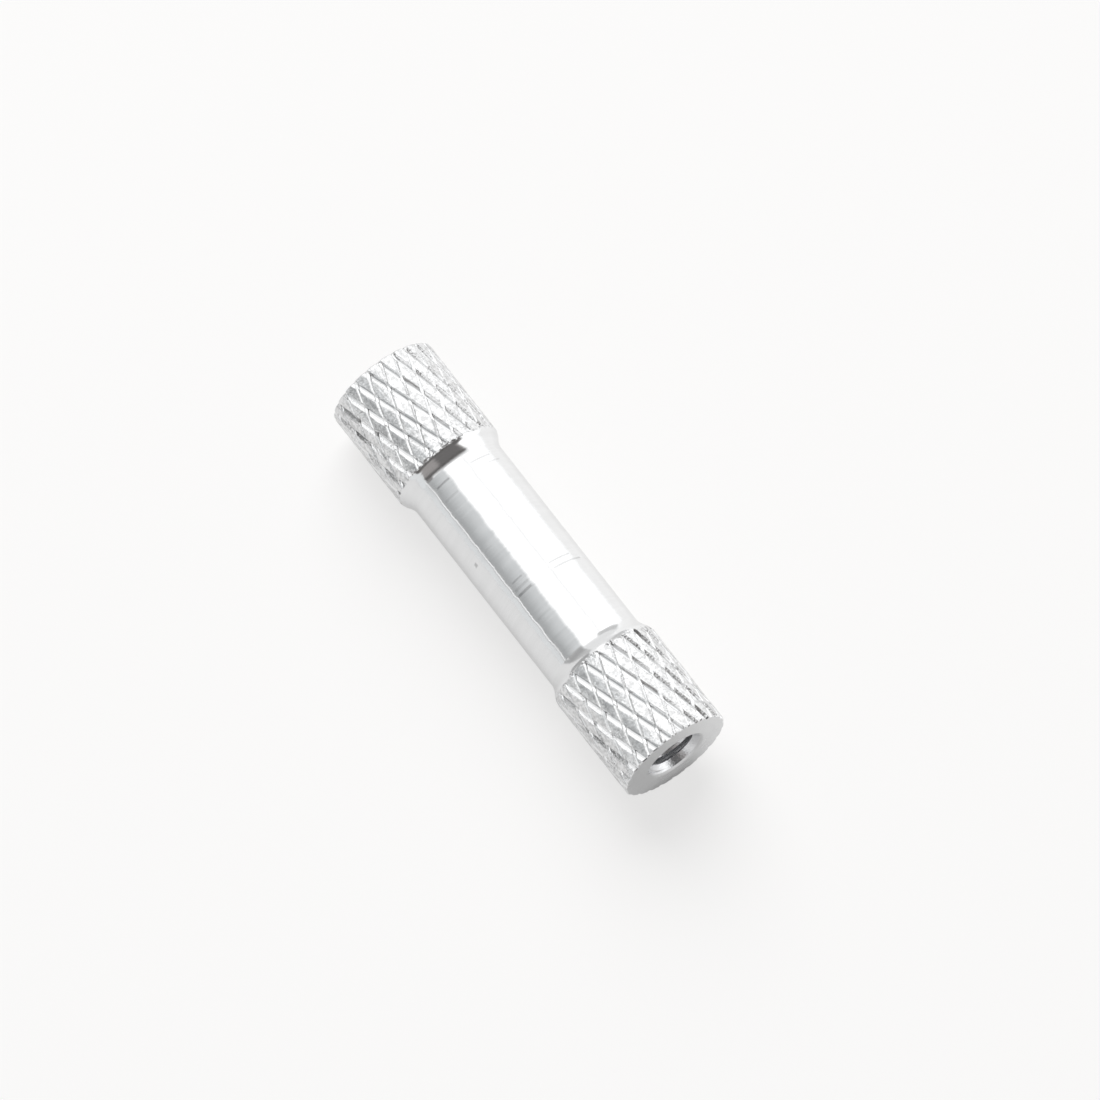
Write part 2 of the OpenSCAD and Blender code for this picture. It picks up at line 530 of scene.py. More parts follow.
class Effects:
    """The node groups that more than one finish uses."""

    def __init__(self) -> None:
        """Builds each group once."""
        self.tool_marks = self._build_tool_marks()
        self.grain = self._build_grain()
        self.wander = self._build_wander()
        self.crest = self._build_crest()
        self.score_mark = self._build_score_mark()

    @staticmethod
    def _drifting(wiring: Wiring, x: Value, y: Value, along: Value, drift: float) -> Value:
        """Gives a place that moves fast along the tool's travel and slowly round the bar."""
        return wiring.node("CombineXYZ", {0: x * drift, 1: y * drift, 2: along})[0]

    @classmethod
    def _build_tool_marks(cls) -> bpy.types.NodeTree:
        """Fine lines left by a tool point, round the bar or round the centre of an end.

        Returns:
            A group that turns a place into a line height and a tone from 0 to 1.
        """
        wiring, given = new_group("tool marks", Place=None, Spacing=0.05, Facing=0.0)
        x, y, z = wiring.split(given["Place"])
        travel = wiring.mix(given["Facing"], z, wiring.reach(x, y), colours=False)
        lines = travel / (given["Spacing"] * MM)
        place = cls._drifting(wiring, x, y, lines, drift=400.0)
        fine = wiring.noise(place, scale=1.0, detail=2.0, roughness=0.6)
        lines_in_band = 7.0
        place = cls._drifting(wiring, x, y, lines / lines_in_band, drift=250.0)
        wide = wiring.noise(place, scale=1.0, detail=1.0)
        return wiring.give(Height=fine, Tone=wiring.ramp(fine + wide, 0.7, 1.3))

    @staticmethod
    def _build_grain() -> bpy.types.NodeTree:
        """Fine pitting and soft smudges from handling.

        Returns:
            A group that turns a place into a pitting height and a smudge from 0 to 1.
        """
        wiring, given = new_group("grain", Place=None, Size=0.05)
        scale = wiring.math("DIVIDE", 1.0 / MM, given["Size"])
        fine = wiring.noise(given["Place"], scale, detail=2.0)
        broad = wiring.noise(given["Place"], scale=900.0, detail=3.0)
        return wiring.give(Height=fine, Smudge=wiring.ramp(broad, 0.35, 0.65))

    @classmethod
    def _build_wander(cls) -> bpy.types.NodeTree:
        """Leans each ring that the tool turned a little, so that reflections have ragged edges.

        Returns:
            A group that turns a place, a normal and a slope into the leaning normal.
        """
        wiring, given = new_group("wander", Place=None, Normal=None, Slope=0.02)
        x, y, z = wiring.split(given["Place"])
        ring, band = 0.07 * MM, 0.6 * MM
        place = cls._drifting(wiring, x, y, z / ring, drift=250.0)
        fine = wiring.noise(place, scale=1.0, detail=2.0, roughness=0.7)
        place = cls._drifting(wiring, x, y, z / band, drift=150.0)
        wide = wiring.noise(place, scale=1.0, detail=1.0)
        lean = (fine + wide - 1.0) * 2.0 * given["Slope"]
        side = wiring.node("CombineXYZ", {0: y * -1.0, 1: x, 2: 0.0})[0]
        side = wiring.scaled(wiring.vector("NORMALIZE", side), lean)
        tilted = wiring.vector("ADD", given["Normal"], side)
        return wiring.give(Normal=wiring.vector("NORMALIZE", tilted))

    @staticmethod
    def _build_crest() -> bpy.types.NodeTree:
        """Crests of a knurl, darkened in blotches, and the roots between them, darkened with painted
        shade.

        Returns:
            A group that turns a place and the crests' radius into masks from 0 to 1.
        """
        wiring, given = new_group("crest", Place=None, Radius=3.0)
        x, y, _ = wiring.split(given["Place"])
        below = given["Radius"] - wiring.reach(x, y) / MM
        blots = wiring.noise(given["Place"], scale=5500.0, detail=3.0)
        return wiring.give(
            Crest=wiring.ramp(below, 0.015, 0.035, 1.0, 0.0),
            Blotch=wiring.ramp(blots, 0.40, 0.66),
            # Root is painted shade: it is 1 deep in the grooves, where shade falls
            Root=wiring.ramp(below, 0.075, 0.115),
        )

    @staticmethod
    def _build_score_mark() -> bpy.types.NodeTree:
        """One fine line part of the way round the bar, with broken ends.

        Returns:
            A group that turns a place and the line's place and width into a mask from 0 to 1.
        """
        wiring, given = new_group(
            "score mark", Place=None, Height=0.0, Width=0.05, Start=-90.0, End=90.0
        )
        x, y, z = wiring.split(given["Place"])
        off = abs(z / MM - given["Height"])
        line = wiring.ramp(off / given["Width"], 0.25, 0.75, 1.0, 0.0)
        patches = wiring.noise(given["Place"], scale=4000.0, detail=1.0)
        ragged, fade = 6.0, 2.0
        angle = wiring.math("DEGREES", wiring.math("ARCTAN2", y, x)) + (patches - 0.5) * ragged
        begun = wiring.math("DIVIDE", angle - given["Start"], fade, clamp=True)
        ended = wiring.math("DIVIDE", given["End"] - angle, fade, clamp=True)
        return wiring.give(Mask=line * (begun * ended))


@dataclass(frozen=True)
class FinishSet:
    """The bare metal as each tool left it."""

    knurled: AluminiumFinish = AluminiumFinish(
        name="knurled_aluminium",
        colour=(0.92, 0.925, 0.93),
        roughness=0.13,
        mark_spacing=0.06,
        mark_depth=0.0010,
        grain_size=0.12,
        grain_depth=0.018,
        crests=3.05,
        crest_darkening=(0.02, 0.24),
        # painted shade in the roots between the crests
        root_shade=0.25,
        crest_roughness=0.06,
    )
    turned: AluminiumFinish = AluminiumFinish(
        name="turned_aluminium",
        colour=(0.90, 0.905, 0.91),
        roughness=0.13,
        mark_spacing=0.05,
        mark_depth=0.0006,
        grain_size=0.05,
        grain_depth=0.0002,
        brushed=0.7,
        wander=0.03,
        scores=(
            ScoreMark(7.08, -70, -51, 0.11, 0.35),
            ScoreMark(7.10, -126, -98, 0.10, 0.20),
            ScoreMark(7.50, -135, -116, 0.10, 0.15),
            ScoreMark(7.90, -70, -48, 0.13, 0.09),
            ScoreMark(11.30, -33, -26, 0.20, 0.35),
            ScoreMark(13.45, -67, -51, 0.10, 0.24),
            ScoreMark(13.78, -128, -98, 0.10, 0.20),
            ScoreMark(13.85, -70, -48, 0.15, 0.17),
            ScoreMark(14.17, -70, -48, 0.14, 0.36),
            ScoreMark(14.15, -140, -98, 0.10, 0.21),
            ScoreMark(15.75, -70, -48, 0.13, 0.07),
        ),
    )
    faced: AluminiumFinish = AluminiumFinish(
        name="faced_aluminium",
        # the darker colour is partly painted shade, for the shaded table that the end face reflects, and
        # partly a greyer faced finish
        colour=(0.76, 0.765, 0.77),
        roughness=0.24,
        mark_spacing=0.05,
        mark_depth=0.0008,
        grain_size=0.05,
        grain_depth=0.0004,
        roughness_swing=0.05,
        toolpath=Toolpath.ACROSS_THE_END,
    )
    tapped: AluminiumFinish = AluminiumFinish(
        name="tapped_aluminium",
        colour=(0.83, 0.835, 0.85),
        roughness=0.24,
        mark_spacing=0.10,
        mark_depth=0.012,
        grain_size=0.10,
        grain_depth=0.012,
        roughness_swing=0.08,
    )


# ---------------------------------------------------------------- the standoff


@dataclass(frozen=True)
class Bar:
    """The bar that the standoff is cut from, in millimetres.

    Attributes:
        length: From the lower end face to the upper one.
        radius: Outside radius over the grips.
    """

    length: float
    radius: float

    @classmethod
    def from_frame(cls, node: str) -> "Bar":
        """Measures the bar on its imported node.

        Args:
            node: The node that holds the whole part.

        Returns:
            The bar.
        """
        low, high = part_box(node)
        return cls(length=(high.z - low.z) / MM, radius=(high.x - low.x) / 2 / MM)


@dataclass(frozen=True)
class DiamondKnurl:
    """Two crossing sets of helical grooves, pressed into the bar as by a pair of wheels.

    The first wheel's grooves are deep and run on past every crossing. The second wheel's are
    shallow dents between them. Sizes are in millimetres.

    Attributes:
        grooves: Grooves of each hand round the bar.
        helix: Angle of the grooves from the bar's axis.
        crossing_angle: Direction, round the axis from +X, of one groove crossing.
        first_walls: Widths of a deep groove's wide and narrow wall.
        first_depth: Depth of the deep grooves between crossings.
        belly: How much wider the wide wall is midway between crossings.
        crossing_rise: How much shallower a deep groove is where the second wheel crossed it.
        second_walls: Widths of a shallow groove's two walls.
        second_depth: Depth of the shallow grooves.
        rim_width: Width of the rounded rim round each diamond.
        rim_drop: How far that rim falls.
        drag: How far the deep grooves dragged the ends of the shallow ones along.
        unevenness: How far the pressed metal strays from its true place.
    """

    grooves: int = 23
    helix: float = math.radians(18.25)
    crossing_angle: float = math.radians(-86.4)
    first_walls: tuple[float, float] = (0.14, 0.10)
    first_depth: float = 0.13
    belly: float = 0.09
    crossing_rise: float = 0.075
    second_walls: tuple[float, float] = (0.07, 0.07)
    second_depth: float = 0.05
    rim_width: float = 0.03
    rim_drop: float = 0.010
    drag: float = 0.01
    unevenness: float = 0.009

    def diamond_width(self, radius: float) -> float:
        """Width of a diamond round the bar."""
        return TURN * radius / self.grooves

    def diamond_length(self, radius: float) -> float:
        """Length of a diamond along the bar."""
        return self.diamond_width(radius) / math.tan(self.helix)

    def spacing(self, radius: float) -> float:
        """Distance from one groove to the next of its hand, square to them."""
        return self.diamond_width(radius) * math.cos(self.helix)

    def lines(self, walls: tuple[float, float], radius: float) -> list[float]:
        """Where the lines along a diamond lie, from one groove to the next.

        Args:
            walls: Widths of the wall that follows a groove and of the wall before the next one.
            radius: Radius over the diamonds.

        Returns:
            Places from 0 to 1 of the root, the first rim's foot and top, the middle, and the
            other rim's top and foot.
        """
        spacing = self.spacing(radius)
        start = walls[0] / spacing
        end = 1 - walls[1] / spacing
        rim = self.rim_width / spacing
        return [0.0, start, start + rim, (start + end) / 2, end - rim, end]


LINES = 6
ROOT_LINE = 0
WALL_LINES = (1, 5)
RIM_LINES = (2, 4)
MIDDLE_LINE = 3
START_LINES = (1, 2)
END_LINES = (4, 5)


@dataclass
class KnurledGrip:
    """A knurled end of the bar, closed by its end face and open towards the neck.

    The knurl is pressed into a flat sheet: X runs round the bar, Y along it and Z out of it,
    with the tops of the diamonds at zero. The sheet is then rolled up, and its zigzag sides
    close on each other.
    """

    name: str
    bar: Bar
    knurl: DiamondKnurl
    end_face: float
    knurl_end: float
    land_radius: float
    crossing_height: float
    edge_break: float = 0.05
    run_out: float = 0.035
    fray: float = 0.055
    fray_waves: tuple[int, int] = (61, 97)
    fray_above: float = 0.3
    seed: int = 1

    @property
    def outward(self) -> int:
        """+1 where the end face looks up the axis, and -1 where it looks down."""
        return 1 if self.end_face > self.knurl_end else -1

    @property
    def rolled_radius(self) -> float:
        """Radius over the diamonds before unevenness adds to it."""
        return self.bar.radius - self.knurl.unevenness

    @property
    def land_start(self) -> float:
        """Height at which the grooves have run out into the smooth land."""
        return self.knurl_end - self.outward * self.run_out

    def build(self, knurled: bpy.types.Material, faced: bpy.types.Material) -> Workpiece:
        """Makes the grip.

        Args:
            knurled: Material of the knurl.
            faced: Material of the end face.

        Returns:
            The grip, open at its neck end.
        """
        sheet = self._lay_out_cells()
        sheet.wear(knurled, faced)
        self._press_grooves(sheet)
        self._stretch_to_diamonds(sheet)
        self._trim_ends(sheet)
        self._roll_up(sheet)
        self._stray(sheet)
        self._close_end(sheet)
        log.info("%s: %d faces", self.name, len(sheet.body.data.polygons))
        return sheet

    @property
    def _rows_up(self) -> int:
        """How many diamonds the middle of the grip lies above the known crossing."""
        middle = (self.end_face + self.land_start) / 2
        return round((middle - self.crossing_height) / self.knurl.diamond_length(self.rolled_radius))

    def _lay_out_cells(self) -> Workpiece:
        """Adds a flat sheet with one square cell for each diamond.

        Returns:
            The sheet, with a first-hand groove on each whole X, a second-hand one on each whole Y.
        """
        knurl = self.knurl
        length = knurl.diamond_length(self.rolled_radius)
        crossing = self.crossing_height + self._rows_up * length
        low, high = (
            (height - crossing) / length for height in sorted((self.end_face, self.land_start))
        )
        half_round = knurl.grooves / 2
        cells = 2 * math.ceil(half_round + high - low + 2)
        clear_selection()
        bpy.ops.mesh.primitive_grid_add(x_subdivisions=cells, y_subdivisions=cells, size=cells)
        sheet = Workpiece(self.name)

        def outside(face: bmesh.types.BMFace) -> bool:
            centre = face.calc_center_median()
            across = (centre.x - centre.y) / 2
            along = (centre.x + centre.y) / 2
            inside = -0.25 < across + half_round < knurl.grooves - 0.25
            return not (inside and low - 0.5 < along < high + 0.5)

        with sheet.opened():
            sheet.pick_faces(outside)
            bpy.ops.mesh.delete(type="FACE")
        return sheet

    def _press_grooves(self, sheet: Workpiece) -> None:
        """Divides each cell, moves its lines to the walls and rims, and presses them to depth."""
        knurl = self.knurl
        with sheet.opened(whole=True):
            bpy.ops.mesh.subdivide(number_cuts=LINES - 1)
        numbers = [
            tuple(round(place * LINES) % LINES for place in point.co.xy)
            for point in sheet.body.data.vertices
        ]

        def shift(x: float, y: float, z: float, test: Callable[[int, int], bool]) -> None:
            sheet.pick_points(lambda point: test(*numbers[point.index]))
            bpy.ops.transform.translate(value=(x, y, z))

        def on_rim(first: int, second: int) -> bool:
            on_wall = first in WALL_LINES or second in WALL_LINES
            return on_wall and ROOT_LINE not in (first, second)

        def in_dent(first: int, second: int) -> bool:
            return second == ROOT_LINE and first != ROOT_LINE

        low_lines = (ROOT_LINE, *WALL_LINES)
        swell = knurl.belly / knurl.spacing(self.rolled_radius)
        with sheet.opened():
            for line, place in enumerate(knurl.lines(knurl.first_walls, self.rolled_radius)):
                shift(place - line / LINES, 0, 0, lambda first, second: first == line)
            for line, place in enumerate(knurl.lines(knurl.second_walls, self.rolled_radius)):
                shift(0, place - line / LINES, 0, lambda first, second: second == line)
            shift(0, 0, -knurl.first_depth, lambda first, second: first == ROOT_LINE)
            shift(0, 0, -knurl.second_depth, in_dent)
            shift(0, 0, -knurl.rim_drop, on_rim)
            for lines, part in ((WALL_LINES, 0.25), (RIM_LINES, 0.75), ((MIDDLE_LINE,), 1.0)):
                shift(swell * part, 0, 0, lambda first, second: first in START_LINES and second in lines)
            for lines, part in (((ROOT_LINE,), 1.0), (WALL_LINES, 0.4)):
                rise = knurl.crossing_rise * part
                shift(0, 0, rise, lambda first, second: first == ROOT_LINE and second in lines)
            for lines, pull in ((START_LINES, knurl.drag), (END_LINES, -knurl.drag)):
                shift(0, pull, 0, lambda first, second: first in lines and second in low_lines)

    def _stretch_to_diamonds(self, sheet: Workpiece) -> None:
        """Turns the cells onto their corners and stretches them to the diamonds' size and place."""
        width = self.knurl.diamond_width(self.rolled_radius)
        length = self.knurl.diamond_length(self.rolled_radius)
        sheet.body.rotation_euler.z = math.pi / 4
        sheet.settle()
        sheet.body.scale = (width / math.sqrt(2), length / math.sqrt(2), 1.0)
        sheet.body.location.x = (self.knurl.crossing_angle + math.pi / 2) * self.rolled_radius
        sheet.body.location.y = self.crossing_height + self._rows_up * length
        sheet.settle()

    def _trim_ends(self, sheet: Workpiece) -> None:
        """Cuts the sheet to length, breaks its outer edge and runs the grooves out at the land."""
        facing = (0, self.outward, 0)
        backing = (0, -self.outward, 0)
        broken = self.end_face - self.outward * self.edge_break
        land_depth = self.rolled_radius - self.land_radius
        with sheet.opened():
            sheet.cut((0, broken, 0), facing, drop=False)
            sheet.cut((0, self.end_face, 0), facing, drop=True)
            sheet.cut((0, self.knurl_end, 0), backing, drop=False)
            sheet.cut((0, self.land_start, 0), backing, drop=True)
            sheet.pick_points(lambda point: abs(point.co.y - self.end_face) < NEAR)
            bpy.ops.transform.translate(value=(0, 0, -self.edge_break))
            sheet.pick_points(lambda point: abs(point.co.y - self.land_start) < NEAR)
            bpy.ops.transform.resize(value=(1, 1, 0), center_override=(0, 0, -land_depth))

    def _roll_up(self, sheet: Workpiece) -> None:
        """Stands the sheet up and rolls it round the bar's axis."""
        sheet.body.rotation_euler.x = math.pi / 2
        sheet.settle()
        across = [point.co.x for point in sheet.body.data.vertices]
        sheet.finish_modifier(
            "SIMPLE_DEFORM",
            deform_method="BEND",
            deform_axis="Z",
            angle=(max(across) - min(across)) / self.rolled_radius,
        )
        sheet.body.location.y = -self.rolled_radius
        sheet.settle()
        sheet.merge_doubles()

    def _stray(self, sheet: Workpiece) -> None:
        """Moves the pressed metal a little out of true, and frays the edge at the land."""
        low, high = sorted((self.end_face - self.outward * self.edge_break, self.knurl_end))

        def on_wave(point: bmesh.types.BMVert, waves: int) -> bool:
            off_ring = min(abs(point.co.z - ring) for ring in (self.knurl_end, self.land_start))
            wave = math.sin(waves * math.atan2(point.co.y, point.co.x))
            return off_ring < NEAR and wave > self.fray_above

        with sheet.opened():
            sheet.pick_points(lambda point: low + NEAR < point.co.z < high - NEAR)
            bpy.ops.transform.vertex_random(
                offset=self.knurl.unevenness, uniform=1.0, normal=0.0, seed=self.seed
            )
            for waves, way in zip(self.fray_waves, (1, -1)):
                sheet.pick_points(lambda point: on_wave(point, waves))
                bpy.ops.transform.translate(value=(0, 0, way * self.fray))

    def _close_end(self, sheet: Workpiece) -> None:
        """Closes the outer end with a flat face."""
        with sheet.opened():
            sheet.pick_edges(
                lambda edge: edge.is_boundary
                and all(abs(point.co.z - self.end_face) < NEAR for point in edge.verts)
            )
            bpy.ops.mesh.edge_face_add()
            sheet.paint_picked(1)


@dataclass
class TurnedNeck:
    """The slimmer middle of the bar, with a shoulder up to a narrow land at each end.

    A round-nosed tool cut each shoulder, and left a slight corner where it came into the neck.
    """

    low_start: float
    high_start: float
    land_radius: float
    neck_radius: float
    land_length: float
    land_taper: float = math.radians(17)
    shoulder_angle: float = math.radians(35)
    root_radius: float = 1.6
    root_corner: float = math.radians(12)
    root_steps: int = 8
    soft_edge: float = 0.02
    steps: int = 144

    def build(self, turned: bpy.types.Material) -> Workpiece:
        """Makes the neck.

        Args:
            turned: Its material.

        Returns:
            The neck, open at both ends.
        """
        low = self._shoulder(self.low_start, 1)
        high = self._shoulder(self.high_start, -1)
        neck = Workpiece.traced("neck", low + high[::-1])
        neck.wear(turned)
        neck.spin_closed(self.steps)
        log.info("neck: %d faces", len(neck.body.data.polygons))
        return neck

    def _shoulder(self, start: float, inward: int) -> list[tuple[float, float]]:
        """Outline of a land, a cone and the large radius that leads the cone into the neck.

        Args:
            start: Height where the land starts.
            inward: +1 where the neck lies above, and -1 where it lies below.

        Returns:
            Radius and height of each point, from the land to the neck.
        """
        steepest, corner, soft = self.shoulder_angle, self.root_corner, self.soft_edge
        land_end = self.land_radius - self.land_length * math.tan(self.land_taper)
        root_height = self.root_radius * (math.cos(corner) - math.cos(steepest))
        cone_length = (land_end - self.neck_radius - root_height) / math.tan(steepest)
        root_centre = self.land_length + cone_length + self.root_radius * math.sin(steepest)
        outline = [
            (self.land_radius, 0.0),
            (land_end + soft * math.tan(self.land_taper), self.land_length - soft),
            (land_end - soft * math.tan(steepest), self.land_length + soft),
        ]
        for step in range(self.root_steps + 1):
            angle = steepest + (corner - steepest) * step / self.root_steps
            radius = self.neck_radius + self.root_radius * (math.cos(corner) - math.cos(angle))
            outline.append((radius, root_centre - self.root_radius * math.sin(angle)))
        return [(radius, start + inward * along) for radius, along in outline]


@dataclass
class TappedHole:
    """A blind tapped hole: a drill with a countersink, and a tap, both cut from the end face."""

    end_face: float
    outward: int
    bore_radius: float = 1.25
    depth: float = 9.0
    drill_angle: float = math.radians(118)
    mouth_radius: float = 1.725
    mouth_angle: float = math.radians(120)
    lead_radius: float = 1.58
    lead_angle: float = math.radians(80)
    thread_radius: float = 1.5
    thread_minor: float = 1.262
    thread_crest: tuple[float, float] = (1.32, 0.115)
    thread_flank: float = math.radians(30)
    pitch: float = 0.5
    thread_depth: float = 8.0
    clear: float = 0.5
    steps: int = 72

    def cut_into(self, piece: Workpiece, tapped: bpy.types.Material, faced: bpy.types.Material) -> None:
        """Drills, countersinks and taps the hole.

        Args:
            piece: The closed body that it goes into.
            tapped: Material of the bore and the thread.
            faced: Material of the countersink.
        """
        piece.subtract(self._drill(tapped, faced))
        piece.subtract(self._tap(tapped))

    def _at(self, depth: float) -> float:
        """Height of a depth below the end face."""
        return self.end_face - self.outward * depth

    def _drill(self, tapped: bpy.types.Material, faced: bpy.types.Material) -> Workpiece:
        """Makes the drill, with the tap's short lead-in and the countersink above it."""
        slope = math.tan(self.mouth_angle / 2)
        sink = (self.mouth_radius - self.lead_radius) / slope
        lead = sink + (self.lead_radius - self.bore_radius) / math.tan(self.lead_angle / 2)
        tip = self.depth + self.bore_radius / math.tan(self.drill_angle / 2)
        drill = Workpiece.traced(
            "drill",
            [
                (0.0, self._at(-self.clear)),
                (self.mouth_radius + self.clear * slope, self._at(-self.clear)),
                (self.lead_radius, self._at(sink)),
                (self.bore_radius, self._at(lead)),
                (self.bore_radius, self._at(self.depth)),
                (0.0, self._at(tip)),
            ],
        )
        drill.wear(tapped, faced)
        drill.spin_closed(self.steps)
        with drill.opened():
            drill.pick_faces(
                lambda face: (face.calc_center_median().z - self._at(sink)) * self.outward > 0
            )
            drill.paint_picked(1)
        return drill

    def _tap(self, tapped: bpy.types.Material) -> Workpiece:
        """Makes the tap: a ridge wound round its core, which leaves slightly peaked crests."""
        shoulder, foot = self.thread_crest
        rise = (self.thread_radius - shoulder) * math.tan(self.thread_flank)
        turns = math.ceil((self.thread_depth + self.clear) / self.pitch)
        bottom = min(self._at(self.thread_depth), self._at(-self.clear))
        tap = Workpiece.traced(
            "tap",
            [
                (self.thread_minor, bottom),
                (shoulder, bottom + foot),
                (self.thread_radius, bottom + foot + rise),
                (self.thread_radius, bottom + self.pitch - foot - rise),
                (shoulder, bottom + self.pitch - foot),
                (self.thread_minor, bottom + self.pitch),
            ],
        )
        tap.wear(tapped)
        tap.finish_modifier(
            "SCREW",
            axis="Z",
            angle=TURN,
            screw_offset=self.pitch,
            iterations=turns,
            steps=self.steps,
            render_steps=self.steps,
        )
        tap.merge_doubles()
        middle = bottom + turns * self.pitch / 2
        for side in (1, -1):
            with tap.opened():
                tap.pick_edges(
                    lambda edge: edge.is_boundary and (edge.verts[0].co.z - middle) * side > 0
                )
                bpy.ops.mesh.extrude_region_move()
                bpy.ops.mesh.merge(type="CENTER")
        tap.merge_doubles()
        return tap


@dataclass
class Standoff:
    """The whole part: two grips, the neck between them, and a tapped hole in each end."""

    bar: Bar
    knurl: DiamondKnurl = field(default_factory=DiamondKnurl)
    lower_grip: float = 5.65
    upper_grip: float = 5.85
    lower_crossing: float = 0.145
    upper_crossing: float = 22.885
    land_depth: float = 0.02
    land_length: float = 0.25
    neck_depth: float = 0.375
    join_gap: float = 0.08
    sharp_angle: float = math.radians(12)

    def build(self, finishes: FinishSet) -> bpy.types.Object:
        """Makes the part as one closed piece, in metres.

        Args:
            finishes: The metal as each tool left it.

        Returns:
            The finished object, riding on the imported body.
        """
        effects = Effects()
        knurled = finishes.knurled.material(effects)
        turned = finishes.turned.material(effects)
        faced = finishes.faced.material(effects)
        tapped = finishes.tapped.material(effects)
        top = self.bar.length
        land_radius = self.bar.radius - self.land_depth
        lower, upper = (
            KnurledGrip(name, self.bar, self.knurl, face, end, land_radius, crossing, seed=seed)
            for name, face, end, crossing, seed in (
                ("lower_grip", 0.0, self.lower_grip, self.lower_crossing, 3),
                ("upper_grip", top, top - self.upper_grip, self.upper_crossing, 8),
            )
        )
        neck = TurnedNeck(
            low_start=lower.land_start + self.join_gap,
            high_start=upper.land_start - self.join_gap,
            land_radius=land_radius - self.join_gap * math.tan(TurnedNeck.land_taper),
            neck_radius=self.bar.radius - self.neck_depth,
            land_length=self.land_length - lower.run_out - self.join_gap,
        )
        parts = [neck.build(turned), lower.build(knurled, faced), upper.build(knurled, faced)]
        body = self._join(parts)
        for start in (lower.land_start, upper.land_start):
            self._weld_ring(body, start)
        body.merge_doubles()
        for grip in (lower, upper):
            TappedHole(grip.end_face, grip.outward).cut_into(body, tapped, faced)
        body.drop_slivers()
        return self._hand_over(body)

    def _join(self, parts: list[Workpiece]) -> Workpiece:
        """Joins the parts into one object, with their rings still open."""
        clear_selection()
        for part in parts:
            part.body.select_set(True)
        bpy.context.view_layer.objects.active = parts[0].body
        bpy.ops.object.join()
        return Workpiece("standoff")

    def _weld_ring(self, body: Workpiece, height: float) -> None:
        """Closes the narrow ring between a grip and the neck."""
        with body.opened():
            body.pick_edges(
                lambda edge: edge.is_boundary
                and all(abs(point.co.z - height) < 2 * self.join_gap for point in edge.verts)
            )
            bpy.ops.mesh.bridge_edge_loops()

    def _hand_over(self, body: Workpiece) -> bpy.types.Object:
        """Brings the piece to metres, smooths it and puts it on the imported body."""
        with body.opened(whole=True):
            bpy.ops.transform.resize(value=(MM, MM, MM), center_override=(0, 0, 0))
        bpy.ops.object.shade_smooth_by_angle(angle=self.sharp_angle)
        body.finish_modifier("WEIGHTED_NORMAL", keep_sharp=True)
        piece = body.body
        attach(piece, ROOT)
        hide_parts(BODY_NODE)
        log.info("standoff: %d faces", len(piece.data.polygons))
        return piece


# ---------------------------------------------------------------- the studio


@dataclass(frozen=True)
class View:
    """Where the camera stands, as seen from the lying standoff.

    Attributes:
        azimuth: Direction of the camera round the standoff's axis, from +X.
        elevation: How far the camera stands towards the upper end.
        roll: Turn of the camera, from seeing the axis hang straight down.
        distance: From what it aims at to the camera, in metres.
        width: What it sees there from side to side, in metres.
        shift: How far right of the standoff's middle, and above it, it aims, in metres.
    """

    azimuth: float = math.radians(-76.4)
    elevation: float = math.radians(17.8)
    roll: float = math.radians(51.85)
    distance: float = 0.5
    width: float = 0.05519
    shift: tuple[float, float] = (0.001116, 0.000891)

    def add_camera(self, middle: Vector) -> None:
        """Adds the camera and makes it the scene's own.

        Args:
            middle: Middle of the standoff.
        """
        around = Vector((-math.sin(self.azimuth), math.cos(self.azimuth), 0.0))
        outward = Vector((math.cos(self.azimuth), math.sin(self.azimuth), 0.0))
        back = outward * math.cos(self.elevation)
        back.z = math.sin(self.elevation)
        along = back.cross(around)
        # seen from the camera, the upper end points to the lower right
        right = -around * math.sin(self.roll) + along * math.cos(self.roll)
        up = back.cross(right)
        aim = middle + right * self.shift[0] + up * self.shift[1]
        data = bpy.data.cameras.new("camera")
        data.sensor_width = 36.0
        data.lens = data.sensor_width * self.distance / self.width
        data.clip_start = 0.01
        data.clip_end = 10.0
        camera = bpy.data.objects.new("camera", data)
        turn = Matrix((right, up, back)).transposed().to_4x4()
        camera.matrix_world = Matrix.Translation(aim + back * self.distance) @ turn
        bpy.context.scene.collection.objects.link(camera)
        bpy.context.scene.camera = camera


COOL = (0.98, 1.0, 1.01)
WARM = (1.0, 0.95, 0.93)


@dataclass(frozen=True)
class StudioZone:
    """A part of the studio that the metal reflects, by direction from the standoff.

    Attributes:
        left: Its left side, in degrees round the axis from the camera.
        right: Its right side.
        low: Its lower limit, in degrees towards the upper end.
        high: Its upper limit.
        level: Its brightness.
        fades: How far the left, right, low and high edges fade, in degrees.
        tint: Its colour.
    """

    left: float
    right: float
    low: float
    high: float
    level: float
    fades: tuple[float, float, float, float] = (4.0, 4.0, 4.0, 4.0)
    tint: tuple[float, float, float] = (1.0, 1.0, 1.0)

    def share(self, wiring: Wiring, azimuth: Value, elevation: Value) -> Value:
        """Gives 1 inside the zone and 0 outside it, with soft edges.

        Args:
            wiring: The room's wiring.
            azimuth: A direction, in degrees round the axis from the camera.
            elevation: Its elevation, in degrees towards the upper end.

        Returns:
            How much of the zone shows in that direction.
        """
        left, right, low, high = (fade / 2 for fade in self.fades)
        across = wiring.ramp(azimuth, self.left - left, self.left + left)
        across = across * wiring.ramp(azimuth, self.right - right, self.right + right, 1.0, 0.0)
        along = wiring.ramp(elevation, self.low - low, self.low + low)
        along = along * wiring.ramp(elevation, self.high - high, self.high + high, 1.0, 0.0)
        return across * along


